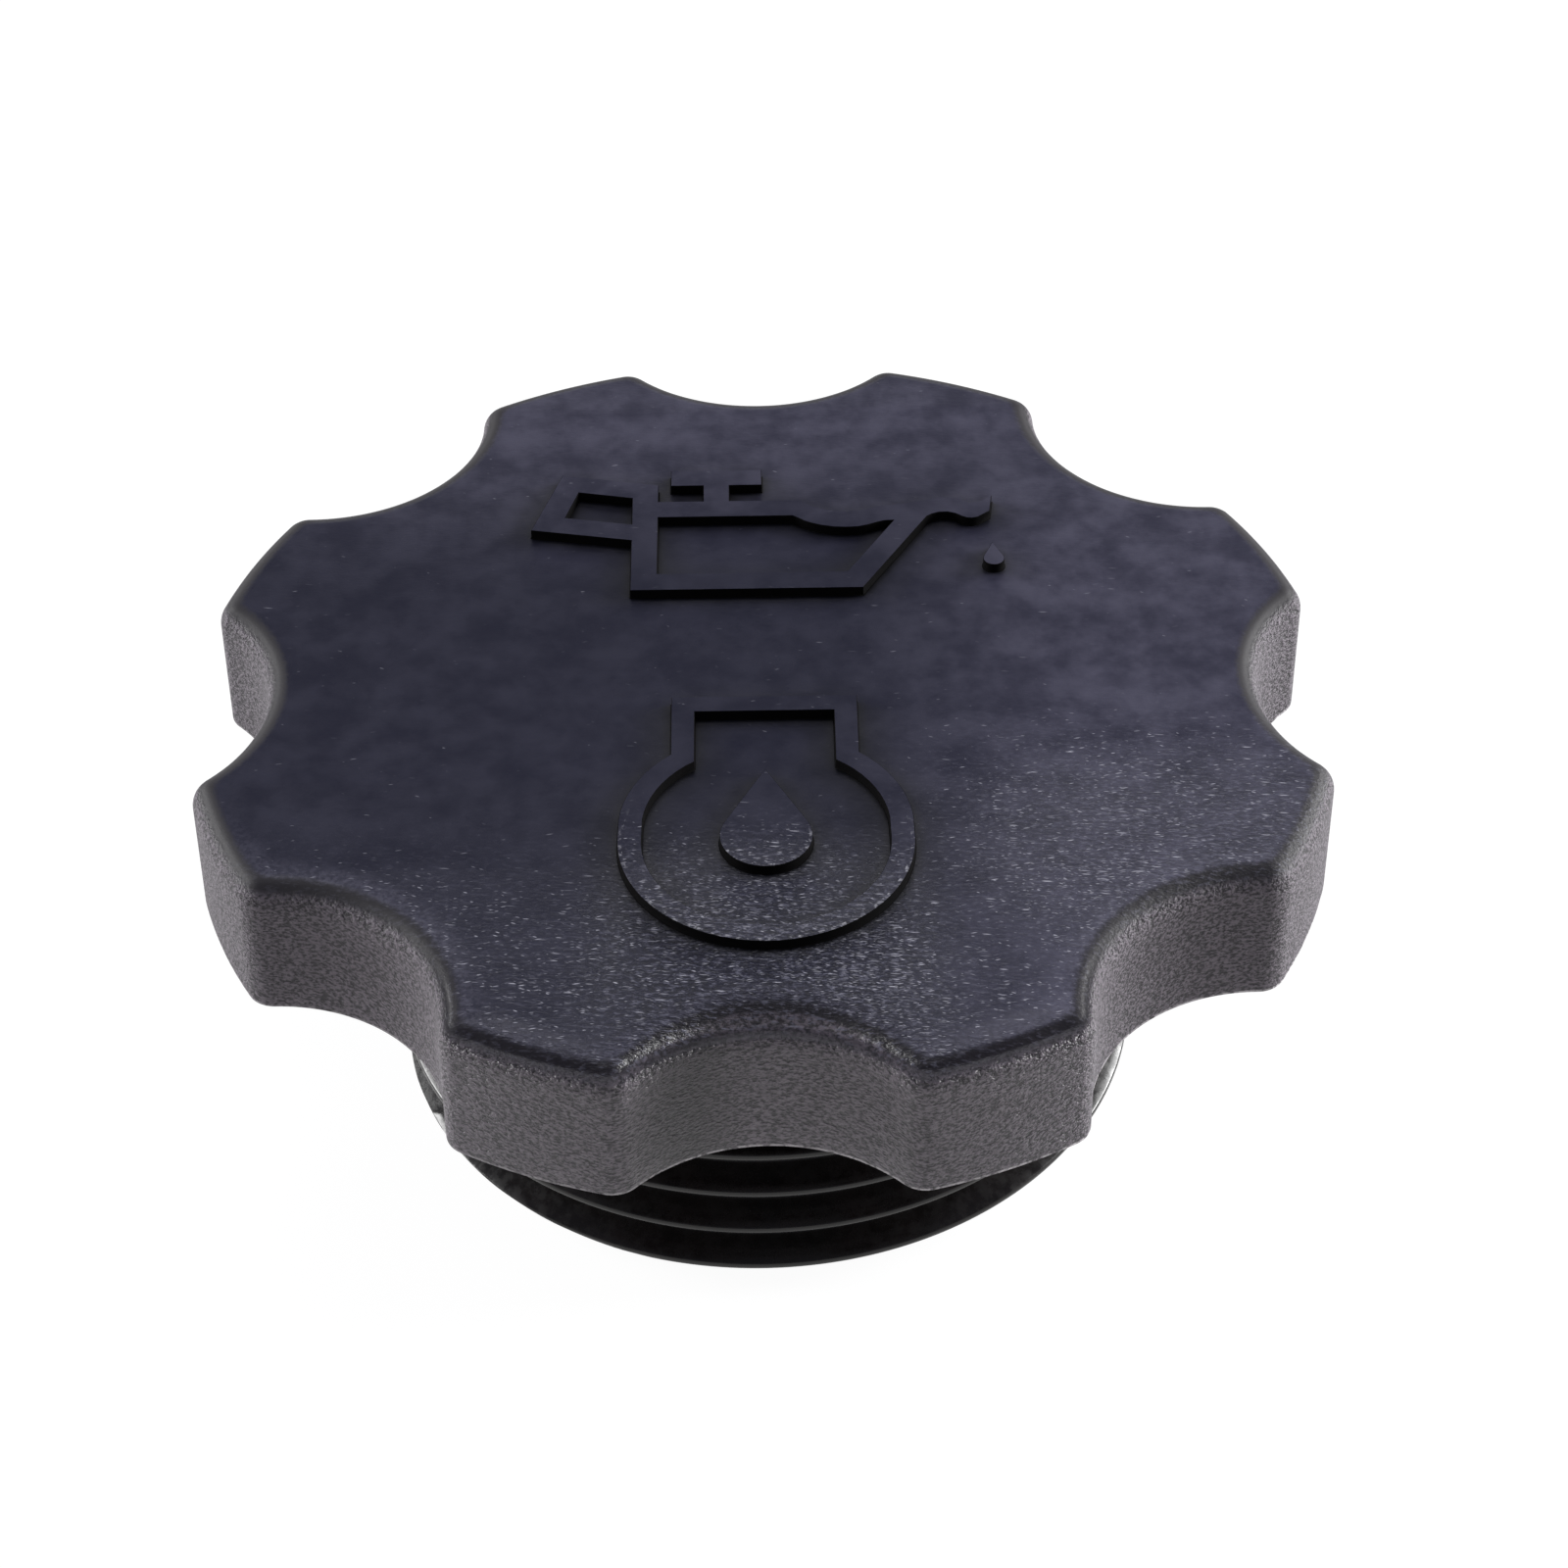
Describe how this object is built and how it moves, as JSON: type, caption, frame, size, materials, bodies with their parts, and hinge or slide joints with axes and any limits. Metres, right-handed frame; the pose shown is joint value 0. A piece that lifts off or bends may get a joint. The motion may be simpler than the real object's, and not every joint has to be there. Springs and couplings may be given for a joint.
{
  "type": "oil filler cap",
  "caption": "Screw-in oil filler cap with a scalloped knob, raised engine and oil can signs, a hollow threaded plug and a sealing ring.",
  "frame": {"origin": "on the cap's axis, at the lower end of the threaded plug", "axes": "+Z along the cap's axis, out of the filler towards the knob's flat top; -Y towards the engine sign, +Y towards the oil can sign"},
  "size_m": [0.0648, 0.0648, 0.0274],
  "materials": {
    "moulding": "matt, spark-eroded knob and glossy plug, glass-filled",
    "seal": "smooth, matt"
  },
  "bodies": {
    "root": {"cap_moulding": "moulding", "sealing_ring": "seal"}
  },
  "joints": []
}
